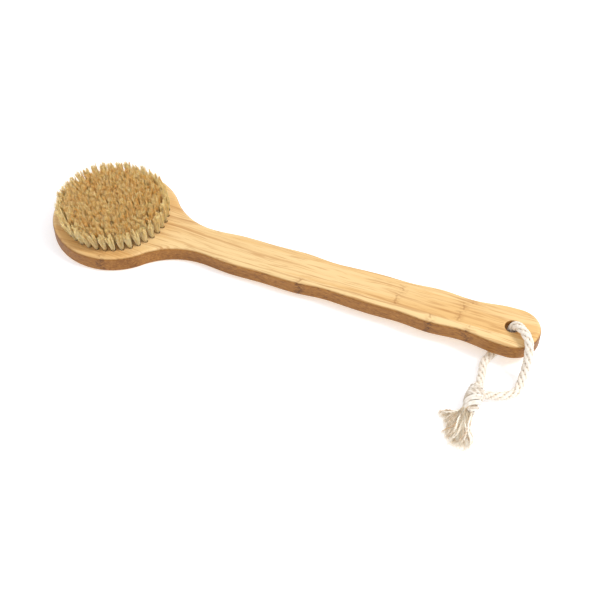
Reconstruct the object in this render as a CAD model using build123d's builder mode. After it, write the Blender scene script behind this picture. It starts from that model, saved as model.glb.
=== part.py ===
"""Body dry brush: a round bristle head on a long bamboo handle, with a cotton hanging cord.

Units are millimetres. The brush lies on the flat back of its head with the bristles up.
The origin is the centre of the head's back, +X runs along the handle and +Z is up.
"""
import os
from math import pi, radians, sin, sqrt, tan

from build123d import *

# ---------------------------------------------------------------- driving dimensions

HEAD_RADIUS = 45.0
BODY_LENGTH = 352.0
THICKNESS = 13.0
EDGE_ROUND = 2.5

NECK_HALF = 12.3  # half the width of the neck
NECK_FILLET = 46.8  # concave radius between the head and the neck
TAIL_RADIUS = 17.0  # round end of the handle

# Half the handle's width at places along it: a grip with three shallow waists.
GRIP_STATIONS = [
    (90.0, 13.9),
    (120.0, 13.9),
    (144.0, 14.3),
    (160.0, 12.8),
    (178.0, 13.4),
    (204.0, 14.0),
    (216.0, 13.8),
    (237.0, 15.4),
    (259.0, 14.0),
    (275.0, 16.0),
]

# The handle leaves the plane of the head's back by a small angle, over a long bend.
BEND_START = 35.0
BEND_END = 100.0
RISE_ANGLE = 1.9

HANG_X = 288.5
HANG_HOLE_RADIUS = 4.8
HANG_RIM_ROUND = 1.2

STAVE_WIDTH = 18.0

# Bristle field: tufts in rings, each in a blind hole with a flat wire anchor.
RING_RADII = [0.0, 7.3, 13.1, 18.9, 24.7, 30.5, 36.3]
TUFT_PITCH = 5.85
HOLE_RADIUS = 1.6
HOLE_DEPTH = 8.0
ROOT_CLEARANCE = 0.05
TUFT_HEIGHT = 15.5  # from the head's face to the tips
TUFT_TIP_RADIUS = 2.3
TUFT_SPREAD = 2.0  # how far the outer ring's tips stand outside their roots
ANCHOR_WIDTH = 3.0
ANCHOR_HEIGHT = 2.0
ANCHOR_THICKNESS = 0.35
ANCHOR_LIFT = 0.4  # the folded bristles under the wire

CORD_DIAMETER = 6.0

# The cord's route, from the knot under the handle, up through the hole, over the end
# of the handle and back to the knot.
CORD_ROUTE = [
    (280.8, -47.0, 6.2),
    (280.6, -38.8, 4.7),
    (280.2, -30.4, 3.3),
    (279.6, -21.6, 3.05),
    (281.2, -12.4, 3.05),
    (288.5, 0.0, 3.05),
    (288.5, 0.0, 25.6),
    (300.6, -11.0, 26.6),
    (305.0, -18.6, 19.5),
    (304.6, -21.8, 8.2),
    (304.4, -29.0, 3.05),
    (303.6, -37.6, 3.05),
    (297.2, -44.6, 3.1),
    (289.6, -48.4, 4.6),
    (282.4, -50.6, 6.2),
]

KNOT_TOP_Y = -45.5
KNOT_END_Y = -65.5
KNOT_X = 280.8
KNOT_RADIUS = 6.3
KNOT_END_RADIUS = 4.6
FLOOR_GAP = 0.05

FRAY_HEIGHT = 8.0
FRAY_ROUND = 1.5

# ---------------------------------------------------------------- worked out from them

TAIL_X = BODY_LENGTH - HEAD_RADIUS - TAIL_RADIUS
NECK_X = sqrt((HEAD_RADIUS + NECK_FILLET) ** 2 - (NECK_HALF + NECK_FILLET) ** 2)
BEND_RADIUS = (BEND_END - BEND_START) / sin(radians(RISE_ANGLE))
HANG_Z = THICKNESS / 2 + (HANG_X - (BEND_START + BEND_END) / 2) * tan(radians(RISE_ANGLE))

os.makedirs("parts", exist_ok=True)


def save(piece, name):
    """Label a finished sub-part and write its STEP file."""
    piece.part.label = name
    export_step(piece.part, f"parts/{name}.step")


def ring_count(radius):
    """How many tufts a ring holds at the common pitch."""
    return max(1, round(2 * pi * radius / TUFT_PITCH))


# ---------------------------------------------------------------- bamboo body

with BuildPart() as blank:
    # Outline from above: head, neck, waisted grip and round end, mirrored about X.
    with BuildSketch() as outline:
        with BuildLine():
            neck_centre = Vector(NECK_X, NECK_HALF + NECK_FILLET)
            touch = neck_centre * (HEAD_RADIUS / neck_centre.length)
            crown = Vector(0, HEAD_RADIUS)
            RadiusArc((-HEAD_RADIUS, 0), crown, HEAD_RADIUS)
            RadiusArc(crown, touch, HEAD_RADIUS)
            neck = RadiusArc(touch, (NECK_X, NECK_HALF), -NECK_FILLET)
            grip = Spline(
                neck @ 1,
                *GRIP_STATIONS,
                (TAIL_X, TAIL_RADIUS),
                tangents=[(1, 0), (1, 0)],
            )
            RadiusArc(grip @ 1, (TAIL_X + TAIL_RADIUS, 0), TAIL_RADIUS)
            mirror(about=Plane.XZ)
        make_face()
    extrude(amount=THICKNESS * 3)

    # Side view: flat back under the head, then the long bend up into the handle.
    with BuildSketch(Plane.XZ):
        with BuildLine():
            below = Line((-2 * HEAD_RADIUS, 0), (BEND_START, 0))
            bend_below = JernArc(below @ 1, (1, 0), BEND_RADIUS, RISE_ANGLE)
            rise_below = Line(bend_below @ 1, bend_below @ 1 + (bend_below % 1) * BODY_LENGTH)
            above = Line((-2 * HEAD_RADIUS, THICKNESS), (BEND_START, THICKNESS))
            bend_above = JernArc(above @ 1, (1, 0), BEND_RADIUS - THICKNESS, RISE_ANGLE)
            rise_above = Line(bend_above @ 1, bend_above @ 1 + (bend_above % 1) * BODY_LENGTH)
            Line(below @ 0, above @ 0)
            Line(rise_below @ 1, rise_above @ 1)
        make_face()
    extrude(amount=2 * HEAD_RADIUS, both=True, mode=Mode.INTERSECT)

    broad_faces = blank.faces().filter_by(lambda face: abs(face.normal_at().Z) > 0.9)
    fillet(broad_faces.edges().filter_by(Axis.Y, reverse=True), EDGE_ROUND)

    with Locations((HANG_X, 0, HANG_Z)):
        Cylinder(HANG_HOLE_RADIUS, THICKNESS * 2, mode=Mode.SUBTRACT)
    hole_walls = blank.faces().filter_by(
        lambda face: face.geom_type == GeomType.CYLINDER
        and abs(face.radius - HANG_HOLE_RADIUS) < 0.001
    )
    fillet(hole_walls.edges().filter_by(Axis.Z, reverse=True), HANG_RIM_ROUND)

    # Blind holes for the tufts.
    for ring_radius in RING_RADII:
        with Locations((0, 0, THICKNESS)):
            with PolarLocations(ring_radius, ring_count(ring_radius)):
                Hole(HOLE_RADIUS, HOLE_DEPTH)


def make_stave(name, centre_y):
    """Cut one lengthwise stave out of the blank: its neighbours meet it at the glue lines."""
    with BuildPart() as stave:
        add(blank.part)
        with Locations((BODY_LENGTH / 2 - HEAD_RADIUS, centre_y, THICKNESS)):
            Box(BODY_LENGTH + 10, STAVE_WIDTH, THICKNESS * 4, mode=Mode.INTERSECT)
    save(stave, name)


make_stave("centre_stave", 0)
make_stave("inner_stave_left", STAVE_WIDTH)
make_stave("inner_stave_right", -STAVE_WIDTH)
make_stave("outer_stave_left", 2 * STAVE_WIDTH)
make_stave("outer_stave_right", -2 * STAVE_WIDTH)

# ---------------------------------------------------------------- tufts and their anchors

anchor_z = THICKNESS - HOLE_DEPTH + ANCHOR_LIFT + ANCHOR_HEIGHT / 2

for number, ring_radius in enumerate(RING_RADII, start=1):
    root_radius = HOLE_RADIUS - ROOT_CLEARANCE
    tip_offset = TUFT_SPREAD * ring_radius / RING_RADII[-1]

    with BuildPart() as anchor:
        with Locations((ring_radius, 0, anchor_z)):
            Box(ANCHOR_THICKNESS, ANCHOR_WIDTH, ANCHOR_HEIGHT)

    with BuildPart() as tuft:
        with BuildSketch(Plane.XY.offset(THICKNESS - HOLE_DEPTH)):
            with Locations((ring_radius, 0)):
                Circle(root_radius)
        extrude(amount=HOLE_DEPTH)
        with BuildSketch(Plane.XY.offset(THICKNESS)):
            with Locations((ring_radius, 0)):
                Circle(root_radius)
        with BuildSketch(Plane.XY.offset(THICKNESS + TUFT_HEIGHT)):
            with Locations((ring_radius + tip_offset, 0)):
                Circle(TUFT_TIP_RADIUS)
        loft()
        add(anchor.part, mode=Mode.SUBTRACT)

    with BuildPart() as tuft_ring:
        with PolarLocations(0, ring_count(ring_radius)):
            add(tuft.part)
    save(tuft_ring, f"tuft_ring_{number}")

    with BuildPart() as anchor_ring:
        with PolarLocations(0, ring_count(ring_radius)):
            add(anchor.part)
    save(anchor_ring, f"anchor_ring_{number}")

# ---------------------------------------------------------------- hanging cord


def bend_radii(route):
    """The radius at each corner of a route: 0.45 of the shorter run over tan(half the turn)."""
    points = [Vector(*point) for point in route]
    radii = []
    for before, corner, after in zip(points, points[1:], points[2:]):
        run_in = corner - before
        run_out = after - corner
        turn = radians(run_in.get_angle(run_out))
        radii.append(0.45 * min(run_in.length, run_out.length) / tan(turn / 2))
    return radii


radii = bend_radii(CORD_ROUTE)

with BuildPart() as hanging_cord:
    with BuildLine() as cord_path:
        FilletPolyline(*CORD_ROUTE, radius=radii)
    with BuildSketch(Plane(origin=cord_path.wire() @ 0, z_dir=cord_path.wire() % 0)):
        Circle(CORD_DIAMETER / 2)
    sweep(path=cord_path.wire())
save(hanging_cord, "hanging_cord")

cord_length = cord_path.wire().length
cord_section = pi * (CORD_DIAMETER / 2) ** 2
print("cord length", round(cord_length, 1))
print("cord bend radii", [round(radius, 1) for radius in radii])
print("cord volume over section x length", hanging_cord.part.volume / (cord_section * cord_length))

# The knot is a barrel that lies along Y, and both strands run into its top end.
with BuildPart() as cord_knot:
    with BuildSketch(Plane.XY.offset(KNOT_RADIUS + FLOOR_GAP)):
        with BuildLine():
            middle_y = (KNOT_TOP_Y + KNOT_END_Y) / 2
            Line((KNOT_X, KNOT_TOP_Y), (KNOT_X + KNOT_END_RADIUS, KNOT_TOP_Y))
            ThreePointArc(
                (KNOT_X + KNOT_END_RADIUS, KNOT_TOP_Y),
                (KNOT_X + KNOT_RADIUS, middle_y),
                (KNOT_X + KNOT_END_RADIUS, KNOT_END_Y),
            )
            Line((KNOT_X + KNOT_END_RADIUS, KNOT_END_Y), (KNOT_X, KNOT_END_Y))
            Line((KNOT_X, KNOT_END_Y), (KNOT_X, KNOT_TOP_Y))
        make_face()
    revolve(axis=Axis((KNOT_X, 0, KNOT_RADIUS + FLOOR_GAP), (0, 1, 0)))
save(cord_knot, "cord_knot")


def make_frayed_end(name, start, direction, root_width, tip_width, length):
    """One unravelled cord end: a flat fan that lies on the surface, out of the knot."""
    with BuildPart() as fan:
        heading = Plane(origin=(*start, FLOOR_GAP), x_dir=(*direction, 0), z_dir=(0, 0, 1))
        with BuildSketch(heading):
            with BuildLine():
                Line((0, -root_width / 2), (0, root_width / 2))
                Line((0, root_width / 2), (length * 0.8, tip_width / 2))
                ThreePointArc(
                    (length * 0.8, tip_width / 2),
                    (length, 0),
                    (length * 0.8, -tip_width / 2),
                )
                Line((length * 0.8, -tip_width / 2), (0, -root_width / 2))
            make_face()
        extrude(amount=FRAY_HEIGHT)
        fillet(fan.edges().group_by(Axis.Z)[-1], FRAY_ROUND)
    save(fan, name)


make_frayed_end("frayed_end_left", (276.6, -66.0), (-0.92, -0.40), 6.5, 11.0, 17.5)
make_frayed_end("frayed_end_right", (281.3, -65.5), (0.06, -1.0), 8.0, 15.0, 25.0)
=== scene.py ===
"""Body dry brush: bamboo body, fanned bristle tufts, braided cotton hanging cord.

Everything is in metres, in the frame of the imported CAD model: the origin is the centre of the
head's flat back, +X runs along the handle and +Z is up.
"""
import math
from typing import NamedTuple

import bpy
import numpy as np
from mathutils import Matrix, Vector


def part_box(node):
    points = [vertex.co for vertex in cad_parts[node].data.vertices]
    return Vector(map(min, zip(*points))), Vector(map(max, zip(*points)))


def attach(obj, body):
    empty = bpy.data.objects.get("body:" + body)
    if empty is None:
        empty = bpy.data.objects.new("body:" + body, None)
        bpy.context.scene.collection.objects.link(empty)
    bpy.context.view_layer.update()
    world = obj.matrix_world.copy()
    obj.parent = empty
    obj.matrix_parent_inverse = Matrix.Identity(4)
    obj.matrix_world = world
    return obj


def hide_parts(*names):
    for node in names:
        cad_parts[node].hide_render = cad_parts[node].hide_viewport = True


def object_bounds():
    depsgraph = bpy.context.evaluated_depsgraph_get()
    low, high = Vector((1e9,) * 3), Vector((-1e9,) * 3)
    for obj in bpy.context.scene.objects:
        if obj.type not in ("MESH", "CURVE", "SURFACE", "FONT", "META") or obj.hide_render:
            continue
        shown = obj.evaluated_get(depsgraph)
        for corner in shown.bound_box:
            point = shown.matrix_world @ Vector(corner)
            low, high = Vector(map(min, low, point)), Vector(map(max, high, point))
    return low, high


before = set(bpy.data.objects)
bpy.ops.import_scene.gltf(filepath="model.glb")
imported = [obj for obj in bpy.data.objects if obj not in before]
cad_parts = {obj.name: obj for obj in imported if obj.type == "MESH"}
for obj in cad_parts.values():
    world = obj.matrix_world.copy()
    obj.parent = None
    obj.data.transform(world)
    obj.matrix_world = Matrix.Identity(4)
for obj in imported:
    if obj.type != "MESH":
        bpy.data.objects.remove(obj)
cad_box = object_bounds()

MM = 0.001
UP = (0.0, 0.0, 1.0)
rng = np.random.default_rng(7)

# ---------------------------------------------------------------- camera

CAMERA_AZIMUTH = math.radians(22.68)
CAMERA_ELEVATION = math.radians(48.5)
CAMERA_DISTANCE = 0.800
CAMERA_TARGET = Vector((0.14967, -0.02154, 0.0075))
CAMERA_LENS = 71.87
SENSOR_WIDTH = 36.0


def make_camera():
    """A camera at the azimuth and elevation round its target, level with the horizon."""
    back = Vector((
        math.sin(CAMERA_AZIMUTH) * math.cos(CAMERA_ELEVATION),
        -math.cos(CAMERA_AZIMUTH) * math.cos(CAMERA_ELEVATION),
        math.sin(CAMERA_ELEVATION),
    ))
    data = bpy.data.cameras.new("camera")
    data.lens = CAMERA_LENS
    data.sensor_width = SENSOR_WIDTH
    data.clip_start = 0.01
    camera = bpy.data.objects.new("camera", data)
    camera.location = CAMERA_TARGET + back * CAMERA_DISTANCE
    camera.rotation_euler = (-back).to_track_quat("-Z", "Y").to_euler()
    bpy.context.scene.collection.objects.link(camera)
    bpy.context.scene.camera = camera


make_camera()

# ---------------------------------------------------------------- light and floor

FLOOR_HALF = 3.0
FLOOR_COLOUR = (0.86, 0.86, 0.89, 1.0)
FLOOR_GLOW = 0.34
WHITE = (1.0, 1.0, 1.0, 1.0)
KEY_DIRECTION = Vector((0.62, 0.12, 0.80))
KEY_DISTANCE = 1.5
KEY_SIZE = 0.40
KEY_POWER = 13.0
WORLD_STRENGTH = 0.88


def make_light():
    """White surroundings and one soft square lamp, high above the handle's end."""
    world = bpy.data.worlds.new("studio")
    world.use_nodes = True
    background = world.node_tree.nodes["Background"]
    background.inputs["Color"].default_value = WHITE
    background.inputs["Strength"].default_value = WORLD_STRENGTH
    bpy.context.scene.world = world

    data = bpy.data.lights.new("key", "AREA")
    data.size = KEY_SIZE
    data.energy = KEY_POWER
    key = bpy.data.objects.new("key", data)
    middle = (cad_box[0] + cad_box[1]) / 2
    direction = KEY_DIRECTION.normalized()
    key.location = middle + direction * KEY_DISTANCE
    key.rotation_euler = (-direction).to_track_quat("-Z", "Y").to_euler()
    bpy.context.scene.collection.objects.link(key)


make_light()
bpy.context.scene.view_settings.view_transform = "Standard"

# ---------------------------------------------------------------- material helpers


class Shader:
    """A material's node tree, with short ways to add and join its nodes."""

    def __init__(self, name, roughness, specular=0.5):
        self.material = bpy.data.materials.new(name)
        self.material.use_nodes = True
        self.tree = self.material.node_tree
        self.principled = self.tree.nodes["Principled BSDF"]
        self.principled.inputs["Roughness"].default_value = roughness
        self.principled.inputs["Specular IOR Level"].default_value = specular

    def node(self, kind, **settings):
        made = self.tree.nodes.new(kind)
        for key, value in settings.items():
            setattr(made, key, value)
        return made

    def feed(self, socket, value):
        """Join an output to a socket, or set the socket to a plain value."""
        if isinstance(value, bpy.types.NodeSocket):
            self.tree.links.new(value, socket)
        else:
            socket.default_value = value

    def math(self, operation, a, b=0.0, c=0.0):
        made = self.node("ShaderNodeMath", operation=operation)
        for socket, value in zip(made.inputs, (a, b, c)):
            self.feed(socket, value)
        return made.outputs[0]

    def smooth(self, value, low, high):
        """0 below low, 1 above high, smooth between."""
        made = self.node("ShaderNodeMapRange", interpolation_type="SMOOTHSTEP")
        self.feed(made.inputs["Value"], value)
        made.inputs["From Min"].default_value = low
        made.inputs["From Max"].default_value = high
        return made.outputs["Result"]

    def place(self):
        return self.node("ShaderNodeTexCoord").outputs["Object"]

    def split(self, vector):
        made = self.node("ShaderNodeSeparateXYZ")
        self.feed(made.inputs[0], vector)
        return made.outputs

    def stretch(self, vector, scale, shift=(0.0, 0.0, 0.0)):
        made = self.node("ShaderNodeMapping")
        self.feed(made.inputs["Vector"], vector)
        made.inputs["Scale"].default_value = scale
        made.inputs["Location"].default_value = shift
        return made.outputs["Vector"]

    def noise(self, vector, scale=1.0, detail=4.0, roughness=0.5):
        made = self.node("ShaderNodeTexNoise")
        self.feed(made.inputs["Vector"], vector)
        made.inputs["Scale"].default_value = scale
        made.inputs["Detail"].default_value = detail
        made.inputs["Roughness"].default_value = roughness
        return made.outputs["Fac"]

    def mix(self, factor, a, b):
        made = self.node("ShaderNodeMix", data_type="RGBA")
        self.feed(made.inputs["Factor"], factor)
        self.feed(made.inputs["A"], a)
        self.feed(made.inputs["B"], b)
        return made.outputs["Result"]

    def ramp(self, factor, stops):
        made = self.node("ShaderNodeValToRGB")
        elements = made.color_ramp.elements
        while len(elements) < len(stops):
            elements.new(0.5)
        for element, (position, colour) in zip(elements, stops):
            element.position = position
            element.color = colour
        self.feed(made.inputs["Fac"], factor)
        return made.outputs["Color"]

    def attribute(self, name):
        return self.node("ShaderNodeAttribute", attribute_name=name).outputs["Fac"]

    def bump(self, height, strength, distance):
        made = self.node("ShaderNodeBump")
        made.inputs["Strength"].default_value = strength
        made.inputs["Distance"].default_value = distance
        self.feed(made.inputs["Height"], height)
        self.tree.links.new(made.outputs["Normal"], self.principled.inputs["Normal"])

    def colour(self, value):
        self.feed(self.principled.inputs["Base Color"], value)


def rgb(red, green, blue):
    """A linear colour with full alpha, from sRGB display values of 0 to 255 (all above 10)."""
    linear = [((value / 255 + 0.055) / 1.055) ** 2.4 for value in (red, green, blue)]
    return (*linear, 1.0)


# ---------------------------------------------------------------- bamboo

PALE_BAMBOO = rgb(234, 204, 150)
HONEY_BAMBOO = rgb(220, 179, 118)
BROWN_GRAIN = rgb(166, 109, 56)
STAVE_TINT = rgb(218, 172, 110)
SIDE_LIGHT = rgb(160, 108, 48)
SIDE_DARK = rgb(132, 84, 32)
PIT_DARK = rgb(100, 60, 24)
PIT_LIGHT = rgb(186, 134, 70)

NODE_WANDER = 8.0 * MM
NODE_BAND = rgb(160, 108, 60)
NODE_LINE = rgb(140, 88, 42)
SIDE_NODE_BAND = rgb(88, 52, 26)
SIDE_NODE_LINE = rgb(70, 40, 20)

# Where a bamboo stem's node crosses each stave, along X.
STAVE_NODES = {
    "centre_stave": (0.030, 0.2120, 0.2545),
    "inner_stave_left": (0.075, 0.2585),
    "inner_stave_right": (0.1460, 0.2365, 0.2620),
    "outer_stave_left": (-0.012,),
    "outer_stave_right": (0.0098,),
}

# How much of the tint each stave takes on.
STAVE_TONE = {
    "centre_stave": 0.50,
    "inner_stave_left": 0.62,
    "inner_stave_right": 0.36,
    "outer_stave_left": 0.70,
    "outer_stave_right": 0.66,
}


def bamboo(name, tone, nodes, seed):
    """Oiled bamboo: long grain on the broad faces, browner and pitted on the narrow sides."""
    s = Shader(name, roughness=0.45, specular=0.25)
    place = s.place()
    x, y, z = s.split(place)
    shift = (seed * 3.1, seed * 7.7, seed * 1.3)

    # The grain wanders a little across the stave.
    drift = s.noise(s.stretch(place, (11.0, 45.0, 45.0), shift), detail=2.0)
    wandered = s.node("ShaderNodeCombineXYZ")
    s.feed(wandered.inputs[0], x)
    s.feed(wandered.inputs[1], s.math("MULTIPLY_ADD", drift, 0.012, y))
    s.feed(wandered.inputs[2], z)
    along = wandered.outputs[0]

    bands = s.noise(s.stretch(along, (4.0, 100.0, 60.0), shift), detail=3.0)
    streaks = s.noise(s.stretch(along, (8.0, 360.0, 200.0), shift), detail=5.0, roughness=0.65)
    dashes = s.noise(s.stretch(along, (48.0, 1050.0, 700.0), shift), detail=2.0)
    flecks = s.noise(s.stretch(place, (260.0, 900.0, 1100.0), shift), detail=4.0, roughness=0.7)

    grain = s.mix(s.smooth(bands, 0.38, 0.62), PALE_BAMBOO, HONEY_BAMBOO)
    grain = s.mix(s.math("MULTIPLY", s.smooth(streaks, 0.49, 0.68), 0.62), grain, BROWN_GRAIN)
    grain = s.mix(s.math("MULTIPLY", s.smooth(dashes, 0.54, 0.66), 0.48), grain, BROWN_GRAIN)
    grain = s.mix(0.45 * tone, grain, STAVE_TINT)

    side = s.mix(s.smooth(bands, 0.30, 0.70), SIDE_LIGHT, SIDE_DARK)
    side = s.mix(s.math("MULTIPLY", s.smooth(flecks, 0.50, 0.64), 0.70), side, PIT_DARK)
    side = s.mix(s.math("MULTIPLY", s.smooth(flecks, 0.46, 0.34), 0.50), side, PIT_LIGHT)

    normal_z = s.split(s.node("ShaderNodeTexCoord").outputs["Normal"])[2]
    broad = s.smooth(s.math("ABSOLUTE", normal_z), 0.35, 0.85)
    look = s.mix(broad, side, grain)

    # A node is a broken line across the stave in a short band of flecks, stronger on the sides.
    wander = s.noise(s.stretch(place, (30.0, 160.0, 160.0), shift), detail=3.0)
    broken = s.noise(s.stretch(place, (100.0, 420.0, 420.0), shift), detail=3.0)
    bent_x = s.math("MULTIPLY_ADD", wander, NODE_WANDER, x)
    edge = s.math("SUBTRACT", 1.0, broad)
    band_strength = s.math("MULTIPLY_ADD", edge, 0.42, 0.36)
    line_strength = s.math("MULTIPLY_ADD", edge, 0.32, 0.38)
    band_colour = s.mix(edge, NODE_BAND, SIDE_NODE_BAND)
    line_colour = s.mix(edge, NODE_LINE, SIDE_NODE_LINE)
    for node_x in nodes:
        away = s.math("ABSOLUTE", s.math("SUBTRACT", bent_x, node_x + NODE_WANDER / 2))
        band = s.math("MULTIPLY", s.smooth(away, 0.0050, 0.0010), s.smooth(flecks, 0.44, 0.60))
        line = s.math("MULTIPLY", s.smooth(away, 0.0011, 0.0001), s.smooth(broken, 0.40, 0.60))
        look = s.mix(s.math("MULTIPLY", band, band_strength), look, band_colour)
        look = s.mix(s.math("MULTIPLY", line, line_strength), look, line_colour)

    s.colour(look)
    s.bump(s.math("MULTIPLY_ADD", flecks, 0.4, streaks), 0.25, 0.0004)
    return s.material


for number, (node, tone) in enumerate(STAVE_TONE.items(), start=1):
    finish = bamboo(f"bamboo_{node}", tone, STAVE_NODES[node], seed=number)
    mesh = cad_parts[node].data
    mesh.materials.clear()
    mesh.materials.append(finish)

# ---------------------------------------------------------------- anchors


def steel_wire():
    """Flat steel wire with faint drawing marks."""
    s = Shader("steel_wire", roughness=0.35)
    s.principled.inputs["Metallic"].default_value = 1.0
    drawn = s.noise(s.stretch(s.place(), (900.0, 900.0, 60.0)), detail=2.0)
    s.colour(s.mix(drawn, (0.55, 0.54, 0.52, 1.0), (0.72, 0.71, 0.69, 1.0)))
    return s.material


wire = steel_wire()
for node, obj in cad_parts.items():
    if node.startswith("anchor_ring"):
        obj.data.materials.clear()
        obj.data.materials.append(wire)

# ---------------------------------------------------------------- many thin tubes in one mesh


def unit(vectors):
    return vectors / np.maximum(np.linalg.norm(vectors, axis=-1, keepdims=True), 1e-12)


def tube_mesh(name, paths, radii, outward, material, sides=3, flat=1.0, tones=None):
    """One mesh of many tubes. paths is tubes x points x 3, radii is tubes x points, and outward
    is the direction, of either shape, that a section's thickness, flat times its width, faces."""
    paths = np.asarray(paths, float)
    count, steps, _ = paths.shape
    radii = np.broadcast_to(radii, (count, steps))
    along = unit(np.gradient(paths, axis=1))
    outward = np.broadcast_to(np.asarray(outward, float), paths.shape)
    across = unit(np.cross(along, outward))
    up = unit(np.cross(across, along))
    angles = np.arange(sides) * 2 * np.pi / sides
    ring = (
        np.cos(angles)[None, None, :, None] * across[:, :, None, :]
        + flat * np.sin(angles)[None, None, :, None] * up[:, :, None, :]
    )
    points = (paths[:, :, None, :] + radii[:, :, None, None] * ring).reshape(-1, 3)

    base = np.arange(count)[:, None, None] * steps * sides
    step = np.arange(steps - 1)[None, :, None] * sides
    side = np.arange(sides)[None, None, :]
    after = (side + 1) % sides
    quads = np.stack([
        base + step + side, base + step + after,
        base + step + sides + after, base + step + sides + side,
    ], axis=-1).reshape(-1, 4)
    first = (base[:, 0] + side[0]).reshape(count, sides)
    caps = [cap.tolist() for cap in first[:, ::-1]]
    caps += [cap.tolist() for cap in first + (steps - 1) * sides]

    mesh = bpy.data.meshes.new(name)
    mesh.from_pydata(points.tolist(), [], quads.tolist() + caps)
    mesh.polygons.foreach_set("use_smooth", np.ones(len(mesh.polygons), bool))

    fraction = np.broadcast_to(np.linspace(0, 1, steps)[None, :, None], (count, steps, sides))
    tones = rng.random(count) if tones is None else tones
    tones = np.asarray(tones, float).reshape(count, -1)
    shade = np.broadcast_to(tones[:, :, None], (count, steps, sides))
    for label, values in (("along", fraction), ("tone", shade)):
        layer = mesh.attributes.new(label, "FLOAT", "POINT")
        layer.data.foreach_set("value", values.astype(np.float32).ravel())

    mesh.materials.append(material)
    obj = bpy.data.objects.new(name, mesh)
    bpy.context.scene.collection.objects.link(obj)
    return obj


# ---------------------------------------------------------------- bristles

HEAD_FACE_Z = 13.0 * MM
RING_RADII = [0.0] + [(7.3 + 5.8 * ring) * MM for ring in range(6)]
TUFT_PITCH = 5.85 * MM
ROOT_RADIUS = 0.92 * MM
ROOT_DEPTH = 1.5 * MM
TUFT_HEIGHT = 15.5 * MM
TALLEST_HAIR = TUFT_HEIGHT + 0.6 * MM
TUFT_SPREAD = 1.0 * MM  # how far the outermost tufts lean outwards
TUFT_LEAN = 0.35 * MM  # how far a tuft leans at random
TUFT_COMB = (-1.6 * MM, -1.5 * MM)  # the whole field is brushed a little one way
LEAN_POWER = 1.4
HAIRS = 150
HAIR_SHORTFALL = 1.5 * MM
HAIR_TONE = 0.22
HAIR_RADIUS = 0.14 * MM
HAIR_TAPER = np.array([1.0, 1.0, 0.98, 0.92, 0.80, 0.45])
HAIR_STEPS = len(HAIR_TAPER)
WISPS = 11
WISP_PLACE = 0.85
WISP_TONE = 0.21
WISP_PULL = 0.15


class Tuft(NamedTuple):
    """How the hairs of a tuft fan out and end."""

    tip_radius: float
    fan_power: float
    crown_drop: float
    tip_pull: float
    wisp_height: float
    stray: float
    # How tan the tuft is: painted shade on the inner tufts and painted light on the outer ones.
    tone: float


# The inner tufts are painted a darker tan, as painted shade in the depth of the bristle field.
INNER_TUFT = Tuft(
    tip_radius=3.7 * MM, fan_power=0.68, crown_drop=1.2 * MM, tip_pull=0.27,
    wisp_height=0.60 * MM, stray=0.38 * MM, tone=0.52,
)
# The outermost tufts are painted paler, as painted light on the lit edge of the field; they stay
# apart up to their tips and end in points.
OUTER_TUFT = Tuft(
    tip_radius=3.0 * MM, fan_power=0.90, crown_drop=1.8 * MM, tip_pull=0.45,
    wisp_height=0.80 * MM, stray=0.25 * MM, tone=0.12,
)


def bristle_material():
    """Natural bristle: brown at the root and cream along its side, or tan where its tone is darker,
    which is partly random and partly painted shade.
    """
    s = Shader("bristle", roughness=0.5, specular=0.35)
    along = s.attribute("along")
    tone = s.attribute("tone")
    pale = s.ramp(along, [(0.0, rgb(206, 152, 88)), (0.25, rgb(255, 230, 172)),
                          (0.70, rgb(255, 228, 166)), (1.0, rgb(255, 224, 156))])
    dark = s.ramp(along, [(0.0, rgb(170, 118, 62)), (0.25, rgb(246, 204, 136)),
                          (0.70, rgb(242, 190, 110)), (1.0, rgb(232, 170, 86))])
    s.colour(s.mix(s.smooth(tone, 0.15, 0.85), pale, dark))
    s.principled.inputs["Sheen Weight"].default_value = 0.30
    s.principled.inputs["Sheen Tint"].default_value = (1.0, 0.86, 0.60, 1.0)
    s.principled.inputs["Subsurface Weight"].default_value = 0.40
    s.principled.inputs["Subsurface Radius"].default_value = (1.0, 0.75, 0.45)
    s.principled.inputs["Subsurface Scale"].default_value = 0.4 * MM
    return s.material


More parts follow.
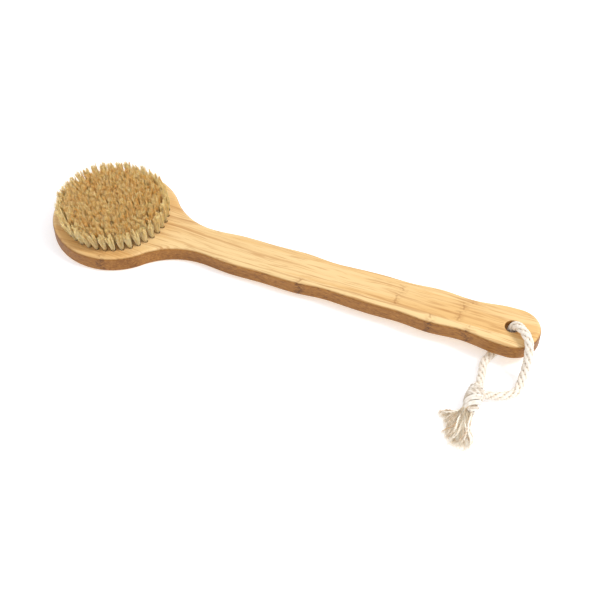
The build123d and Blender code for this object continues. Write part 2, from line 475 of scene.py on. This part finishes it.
def hair_paths(ring_radius, count):
    """The centre lines and tones of a ring's hairs, narrow at the hole and fanned above it."""
    share = ring_radius / RING_RADII[-1]
    tuft = OUTER_TUFT if share == 1 else INNER_TUFT
    angle = np.arange(count) * 2 * np.pi / count
    radial = np.stack([np.cos(angle), np.sin(angle), np.zeros(count)], axis=-1)
    tangential = np.stack([-np.sin(angle), np.cos(angle), np.zeros(count)], axis=-1)
    t = np.linspace(0, 1, HAIR_STEPS)

    rho = np.sqrt(rng.random((count, HAIRS)))
    phi = rng.random((count, HAIRS)) * 2 * np.pi
    root = np.stack([np.cos(phi), np.sin(phi)], axis=-1) * rho[..., None]

    # Towards their tips the hairs gather in wisps, each with its own length and shade.
    centre = rng.uniform(-WISP_PLACE, WISP_PLACE, (count, WISPS, 2))
    nearest = np.argmin(np.linalg.norm(root[:, :, None] - centre[:, None], axis=-1), axis=-1)
    gathered = np.take_along_axis(centre, nearest[..., None], axis=1)
    pull = (tuft.tip_pull * t ** 3 + WISP_PULL * t)[:, None]
    tip = root[:, :, None] * (1 - pull) + gathered[:, :, None] * pull
    wisp_height = rng.normal(0, tuft.wisp_height, (count, WISPS))
    wisp_tone = rng.normal(0, WISP_TONE, (count, WISPS))

    lean = rng.normal(0, TUFT_LEAN, (count, 1, 2)) + np.array([TUFT_SPREAD * share, 0.0])
    stray = rng.normal(0, tuft.stray, (count, HAIRS, 2))
    height = TUFT_HEIGHT - tuft.crown_drop * rho ** 2
    height = height + np.take_along_axis(wisp_height, nearest, axis=1)
    height = height - np.abs(rng.normal(0, HAIR_SHORTFALL, (count, HAIRS)))
    height = np.minimum(height, TALLEST_HAIR)

    fan = t ** tuft.fan_power
    leaned = t ** LEAN_POWER
    offset = (
        root[:, :, None] * ROOT_RADIUS * (1 - fan)[:, None]
        + tip * tuft.tip_radius * fan[:, None]
        + (lean[:, :, None] + stray[:, :, None]) * leaned[:, None]
    )
    base = radial * ring_radius
    paths = (
        base[:, None, None]
        + offset[..., 0:1] * radial[:, None, None]
        + offset[..., 1:2] * tangential[:, None, None]
    )
    paths[..., :2] += np.array(TUFT_COMB) * leaned[:, None]
    paths[..., 2] = HEAD_FACE_Z - ROOT_DEPTH + (height + ROOT_DEPTH)[..., None] * t
    # The ring's tone is painted shade or painted light; the wisps and hairs add tone that differs at
    # random.
    tones = tuft.tone + np.take_along_axis(wisp_tone, nearest, axis=1)
    tones = tones + rng.normal(0, HAIR_TONE, (count, HAIRS))
    return paths.reshape(-1, HAIR_STEPS, 3), np.clip(tones, 0, 1).ravel()


def make_bristles():
    """One piece of hairs for each ring of tufts."""
    finish = bristle_material()
    radii = HAIR_RADIUS * HAIR_TAPER
    for number, ring_radius in enumerate(RING_RADII, start=1):
        count = max(1, round(2 * math.pi * ring_radius / TUFT_PITCH))
        paths, tones = hair_paths(ring_radius, count)
        piece = tube_mesh(f"bristles_{number}", paths, radii, (1.0, 0.0, 0.0), finish, tones=tones)
        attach(piece, "brush")
        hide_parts(f"tuft_ring_{number}")


make_bristles()

# ---------------------------------------------------------------- cord

# From the knot, under the handle, up through its hole, over its edge and back to the knot.
CORD_ROUTE = [
    (0.2808, -0.0470, 0.0062),
    (0.2806, -0.0388, 0.0047),
    (0.2793, -0.0304, 0.0033),
    (0.2776, -0.0216, 0.00305),
    (0.2804, -0.0124, 0.00305),
    (0.2885, 0.0000, 0.00305),
    (0.2885, 0.0000, 0.0256),
    (0.3016, -0.0104, 0.0266),
    (0.3046, -0.0186, 0.0195),
    (0.3046, -0.0218, 0.0082),
    (0.3044, -0.0290, 0.00305),
    (0.3040, -0.0376, 0.00305),
    (0.2976, -0.0428, 0.0031),
    (0.2900, -0.0468, 0.0046),
    (0.2824, -0.0500, 0.0062),
]
STEP = 0.35 * MM
BRAID_LAY = 23.0 * MM
BRAID_RADIUS = 2.05 * MM
BRAID_WEAVE = 0.30 * MM
BRAID_STRANDS = 8
STRAND_RADIUS = 1.12 * MM
STRAND_FLAT = 0.62
CORE_RADIUS = 1.75 * MM


def cotton_material(name, pale, dark, fibre_scale=2600.0):
    """Soft cotton yarn in two shades, blended by each strand's tone, with a fine fibrous bump."""
    s = Shader(name, roughness=0.85, specular=0.2)
    place = s.place()
    soft = s.noise(place, 420.0, detail=3.0)
    fine = s.noise(place, fibre_scale, detail=4.0, roughness=0.7)
    tone = s.attribute("tone")
    mixed = s.math("MULTIPLY_ADD", tone, 0.45, s.math("MULTIPLY", soft, 0.55))
    s.colour(s.mix(s.smooth(mixed, 0.30, 0.75), pale, dark))
    s.principled.inputs["Sheen Weight"].default_value = 0.25
    s.bump(fine, 0.55, 0.0003)
    return s.material


def route_line(points):
    """The smooth centre line of a route, as the points of its NURBS spline, evenly spaced."""
    data = bpy.data.curves.new("route", "CURVE")
    data.dimensions = "3D"
    spline = data.splines.new("NURBS")
    spline.points.add(len(points) - 1)
    for point, place in zip(spline.points, points):
        point.co = (*place, 1.0)
    spline.order_u = 3
    spline.use_endpoint_u = True
    spline.resolution_u = 24
    obj = bpy.data.objects.new("route", data)
    bpy.context.scene.collection.objects.link(obj)
    mesh = bpy.data.meshes.new_from_object(obj)
    line = np.array([vertex.co for vertex in mesh.vertices], float)
    bpy.data.objects.remove(obj)
    bpy.data.meshes.remove(mesh)
    return evenly(line, STEP)


def distance_along(line):
    gaps = np.linalg.norm(np.diff(line, axis=0), axis=1)
    return np.concatenate([[0.0], np.cumsum(gaps)])


def evenly(line, step):
    """The same line with its points one step apart."""
    reach = distance_along(line)
    places = np.linspace(0, reach[-1], max(2, round(reach[-1] / step)))
    return np.stack([np.interp(places, reach, line[:, axis]) for axis in range(3)], axis=-1)


def carried_frame(line):
    """Two directions square to the line at each point, carried along it without twist."""
    along = unit(np.gradient(line, axis=0))
    first = np.zeros_like(line)
    carried = np.array(UP)
    for index, direction in enumerate(along):
        carried = carried - direction * (carried @ direction)
        carried = carried / np.linalg.norm(carried)
        first[index] = carried
    return first, np.cross(along, first)


def around(angle, first, second):
    """The direction at each angle round a line, from its two carried directions."""
    return np.cos(angle)[:, None] * first + np.sin(angle)[:, None] * second


def join(objects):
    """Join mesh objects into the first."""
    with bpy.context.temp_override(active_object=objects[0], selected_editable_objects=objects):
        bpy.ops.object.join()


def make_rope():
    """Eight flat strands, four each way round, pass over and under each other on a core."""
    line = route_line(CORD_ROUTE)
    first, second = carried_frame(line)
    reach = np.arange(len(line)) * STEP
    turn = 2 * np.pi * reach / BRAID_LAY
    weave = np.cos(BRAID_STRANDS * turn)
    paths, outward, tones = [], [], []
    for hand in (1, -1):
        for strand in range(BRAID_STRANDS // 2):
            angle = 4 * np.pi * strand / BRAID_STRANDS + hand * turn
            away = around(angle, first, second)
            radius = BRAID_RADIUS + hand * BRAID_WEAVE * weave
            paths.append(line + away * radius[:, None])
            outward.append(away)
            # A strand is painted darker where it passes under the others: painted shade at the
            # crossings.
            tones.append(0.42 + 0.04 * strand - 0.36 * hand * weave)
    finish = cotton_material("cotton_braid", rgb(238, 229, 217), rgb(216, 200, 178))
    rope = tube_mesh("hanging_rope", paths, STRAND_RADIUS, outward, finish,
                     sides=10, flat=STRAND_FLAT, tones=tones)
    # The core takes the darkest tone: painted shade in the gaps between the strands.
    core = tube_mesh("rope_core", [line], CORE_RADIUS, [first], finish, sides=16, tones=[1.0])
    join([rope, core])
    return rope, line


rope, rope_line = make_rope()

# ---------------------------------------------------------------- knot

knot_low, knot_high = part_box("cord_knot")
KNOT_X = (knot_low.x + knot_high.x) / 2
KNOT_Z = (knot_low.z + knot_high.z) / 2
KNOT_TOP = knot_high.y
KNOT_END = knot_low.y
KNOT_WIDE = (knot_high.x - knot_low.x) / 2
WRAP_YARN = 0.98 * MM
WRAP_YARNS = 9
WRAP_SWAY = 0.5 * MM
WRAP_STEPS = 60
CROSSING_YARNS = 3
BARREL_SINK = 1.9 * MM
BARREL_STEPS = 24
FLOOR_GAP = 0.1 * MM  # what lies on the floor keeps this far off it


def on_knot(v, angle, sink):
    """A place on the knot: v from 0 at its top to 1 at its end, sink below its outer form."""
    inside = np.clip(v, 0.0, 1.0)
    crown = 0.80 + 0.20 * np.sin(np.pi * inside) ** 0.8
    radius = KNOT_WIDE * crown * (1 - 0.16 * inside ** 2) - sink
    return np.stack([
        KNOT_X + radius * np.cos(angle),
        KNOT_TOP + (KNOT_END - KNOT_TOP) * v,
        KNOT_Z + radius * np.sin(angle),
    ], axis=-1)


def make_knot():
    """Yarns wound side by side round a barrel, and a few that cross them."""
    t = np.linspace(0, 1, WRAP_STEPS)
    paths, radii, tones = [], [], []
    for yarn in range(WRAP_YARNS):
        start = 2 * np.pi * (yarn + rng.uniform(-0.16, 0.16)) / WRAP_YARNS
        angle = start + 2 * np.pi * rng.uniform(0.92, 1.04) * t
        sway = rng.uniform(0.0, WRAP_SWAY) * (1 + np.sin(4 * np.pi * t + start)) / 2
        paths.append(on_knot(0.02 + 1.04 * t, angle, WRAP_YARN + sway))
        radii.append(WRAP_YARN * (0.84 + 0.16 * np.sin(np.pi * t)))
        tones.append(0.2 + 0.5 * rng.random())
    for yarn in range(CROSSING_YARNS):
        angle = 2.9 + 0.30 * yarn - 3.3 * t
        v = 0.02 + 0.12 * yarn + 0.34 * t
        paths.append(on_knot(v, angle, WRAP_YARN * 0.75))
        radii.append(WRAP_YARN * 0.9 * np.sin(np.pi * (0.12 + 0.76 * t)) ** 0.3)
        tones.append(0.2 + 0.4 * rng.random())
    paths = np.array(paths)
    paths[..., 2] = np.maximum(paths[..., 2], WRAP_YARN + FLOOR_GAP)
    centre = paths.copy()
    centre[..., 0] = KNOT_X
    centre[..., 2] = KNOT_Z
    finish = cotton_material("cotton_wrap", rgb(238, 231, 221), rgb(182, 162, 138))
    wraps = tube_mesh("knot_wraps", paths, np.array(radii), paths - centre, finish,
                      sides=10, tones=tones)
    barrel = on_knot(np.linspace(0, 1, BARREL_STEPS), np.zeros(BARREL_STEPS), BARREL_SINK)
    axis = barrel.copy()
    axis[:, 0] = KNOT_X
    # The barrel takes the darkest tone: painted shade in the gaps between the wraps.
    core = tube_mesh("knot_core", [axis], barrel[:, 0] - KNOT_X, UP, finish, sides=24, tones=[1.0])
    join([wraps, core])
    wraps.name = "rope_knot"
    return wraps


knot = make_knot()

# ---------------------------------------------------------------- frayed end

FRAY_ROOT = Vector((KNOT_X - 0.6 * MM, KNOT_END + 1.5 * MM, KNOT_Z - 0.4 * MM))
FRAY_YARNS = 84
YARN_STEPS = 90
PLY_RADIUS = 0.40 * MM
PLY_OFFSET = 0.34 * MM
PLY_LAY = 4.5 * MM
FRAY_FIBRES = 560
FIBRE_STEPS = 22
FIBRE_RADIUS = 0.07 * MM
FIBRE_SWAY = 0.50 * MM

# The fan seen from above: headings from +X, and how far its yarns reach.
KNOT_HEADING = math.radians(-98)
FAN_LEFT = math.radians(-166)
FAN_MIDDLE = math.radians(-110)
FAN_RIGHT = math.radians(-69)
FAN_REACH = 19.0 * MM
FAN_NOTCH = 5.5 * MM
FAN_RIGHT_EXTRA = 6.0 * MM
FAN_LEFT_RISE = 1.4 * MM
FAN_LOWEST = 0.9 * MM
FAN_HIGHEST = 5.2 * MM
PHASE = 6.3  # about one full turn, for waves that start anywhere


def fan_paths(count, steps, wander, root_spread, longer=1.0):
    """Lines that leave the knot's end together and spread over the surface, in two lobes."""
    side = rng.random(count)
    heading = FAN_LEFT + (FAN_RIGHT - FAN_LEFT) * side
    notch = FAN_NOTCH * np.sin(np.pi * np.clip(side / 0.55, 0, 1))
    extra = FAN_RIGHT_EXTRA * np.clip((side - 0.40) / 0.3, 0, 1)
    reach = (FAN_REACH - notch + extra) * longer * rng.uniform(0.80, 1.06, count)
    t = np.linspace(0, 1, steps)

    start = KNOT_HEADING + 0.55 * (heading - FAN_MIDDLE)
    turn = np.clip(t / 0.40, 0, 1)
    turn = turn * turn * (3 - 2 * turn)
    angle = start[:, None] * (1 - turn) + heading[:, None] * turn
    angle = angle + wander * np.sin(2 * np.pi * t + PHASE * rng.random((count, 1))) * t
    step = reach[:, None] / (steps - 1)

    spin = 2 * np.pi * rng.random(count)
    spread = root_spread * np.sqrt(rng.random(count))
    root_x = FRAY_ROOT.x + spread * np.cos(spin)
    root_y = FRAY_ROOT.y + FAN_LEFT_RISE * np.clip(1 - side / 0.5, 0, 1)
    root_z = FRAY_ROOT.z + spread * np.sin(spin)
    resting = rng.uniform(FAN_LOWEST, FAN_HIGHEST, count)
    x = root_x[:, None] + np.cumsum(np.cos(angle) * step, axis=1)
    y = root_y[:, None] + np.cumsum(np.sin(angle) * step, axis=1)
    z = root_z[:, None] * (1 - turn) + resting[:, None] * turn
    return np.stack([x, y, z * (1 - 0.45 * t ** 2)], axis=-1)


def two_plies(line):
    """The centre lines of a yarn's two plies, twisted about its own."""
    first, second = carried_frame(line)
    turn = 2 * np.pi * distance_along(line) / PLY_LAY
    return [line + PLY_OFFSET * around(turn + start, first, second) for start in (0.0, np.pi)]


def make_yarns():
    """The yarns that the rope's end has come apart into."""
    lines = fan_paths(FRAY_YARNS, YARN_STEPS, wander=0.60, root_spread=3.2 * MM)
    lines[..., 2] = np.maximum(lines[..., 2], PLY_RADIUS + PLY_OFFSET + FLOOR_GAP)
    plies, tones = [], []
    for line in lines:
        plies += two_plies(line)
        tones += [rng.random()] * 2
    taper = np.clip(1.15 - 0.75 * np.linspace(0, 1, YARN_STEPS) ** 3, 0, 1)
    finish = cotton_material("cotton_yarn", rgb(252, 245, 232), rgb(200, 170, 134), 2200.0)
    return tube_mesh("frayed_yarns", plies, PLY_RADIUS * taper, UP, finish, sides=6, tones=tones)


def make_fibres():
    """Loose fibres among the yarns, and a little past their ends."""
    lines = fan_paths(FRAY_FIBRES, FIBRE_STEPS, wander=0.75, root_spread=3.9 * MM, longer=1.14)
    t = np.linspace(0, 1, FIBRE_STEPS)
    each = (FRAY_FIBRES, 3, 1)
    sway = rng.normal(0, FIBRE_SWAY, each)
    waves = np.pi * rng.uniform(2, 5, each)
    wavy = sway * np.sin(waves * t + PHASE * rng.random(each)) * t
    lines = lines + np.swapaxes(wavy, 1, 2)
    lines[..., 2] = np.maximum(lines[..., 2], FIBRE_RADIUS + FLOOR_GAP)
    finish = cotton_material("cotton_fibre", rgb(255, 246, 226), rgb(236, 212, 176))
    return tube_mesh("frayed_fibres", lines, FIBRE_RADIUS * (1.1 - 0.6 * t), UP, finish)


yarns = make_yarns()
fibres = make_fibres()

for piece in (rope, knot, yarns, fibres):
    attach(piece, "loop")
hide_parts("hanging_cord")
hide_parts("cord_knot")
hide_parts("frayed_end_left", "frayed_end_right")

# ---------------------------------------------------------------- floor


def make_floor():
    """A plain pale floor, which glows a little so that it stays as white as the photo's ground."""
    mesh = bpy.data.meshes.new("floor")
    corners = [(-1, -1), (1, -1), (1, 1), (-1, 1)]
    mesh.from_pydata([(x * FLOOR_HALF, y * FLOOR_HALF, 0.0) for x, y in corners], [], [(0, 1, 2, 3)])
    s = Shader("floor_white", roughness=0.9, specular=0.0)
    s.colour(FLOOR_COLOUR)
    s.principled.inputs["Emission Color"].default_value = WHITE
    s.principled.inputs["Emission Strength"].default_value = FLOOR_GLOW
    mesh.materials.append(s.material)
    floor = bpy.data.objects.new("floor", mesh)
    bpy.context.scene.collection.objects.link(floor)


make_floor()
